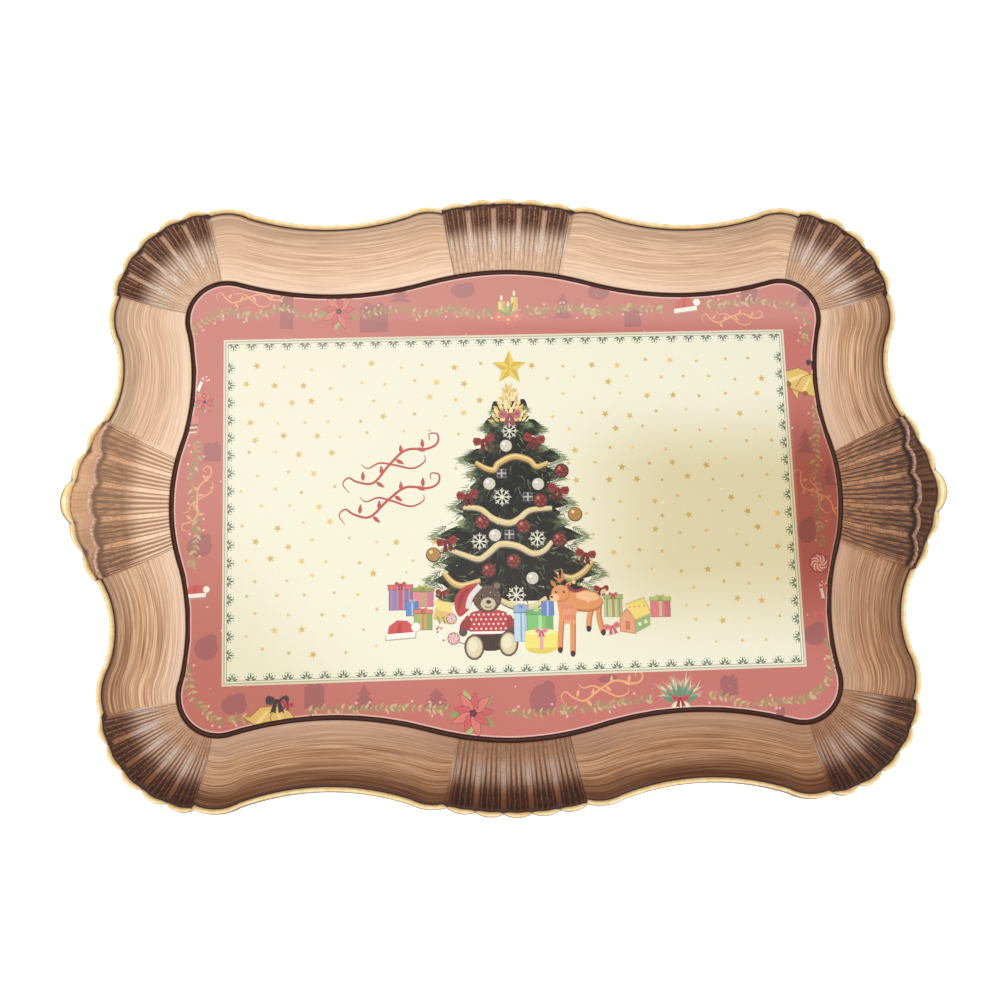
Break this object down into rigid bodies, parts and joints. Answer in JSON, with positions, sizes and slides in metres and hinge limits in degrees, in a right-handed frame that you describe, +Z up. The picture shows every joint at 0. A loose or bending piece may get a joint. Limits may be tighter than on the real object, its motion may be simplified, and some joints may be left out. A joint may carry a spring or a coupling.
{
  "type": "serving tray",
  "caption": "Shallow scalloped serving tray with a coved wood-effect rim, gilt bead edge, side lip handles and a bonded seasonal printed picture on its floor.",
  "frame": {"origin": "middle of the plane that the foot ring stands on", "axes": "+X along the tray's length towards the handle on the picture's right, +Y across it towards the top of the picture, +Z up out of the tray"},
  "size_m": [0.45, 0.3152, 0.022],
  "materials": {
    "antiqued_plastic": "moulded plastic with a brushed, antiqued wood-effect paint, satin",
    "gilt": "gold paint on the moulded bead, satin metallic",
    "adhesive": "pressure-sensitive adhesive layer, hidden",
    "print": "colour-printed plastic sheet: cream field with a tree and gifts inside a red garland border",
    "film": "clear gloss laminate"
  },
  "bodies": {
    "root": {"tray_shell": "antiqued_plastic", "gilt_bead": "gilt", "picture_adhesive": "adhesive", "picture_sheet": "print", "clear_film": "film"}
  },
  "joints": []
}
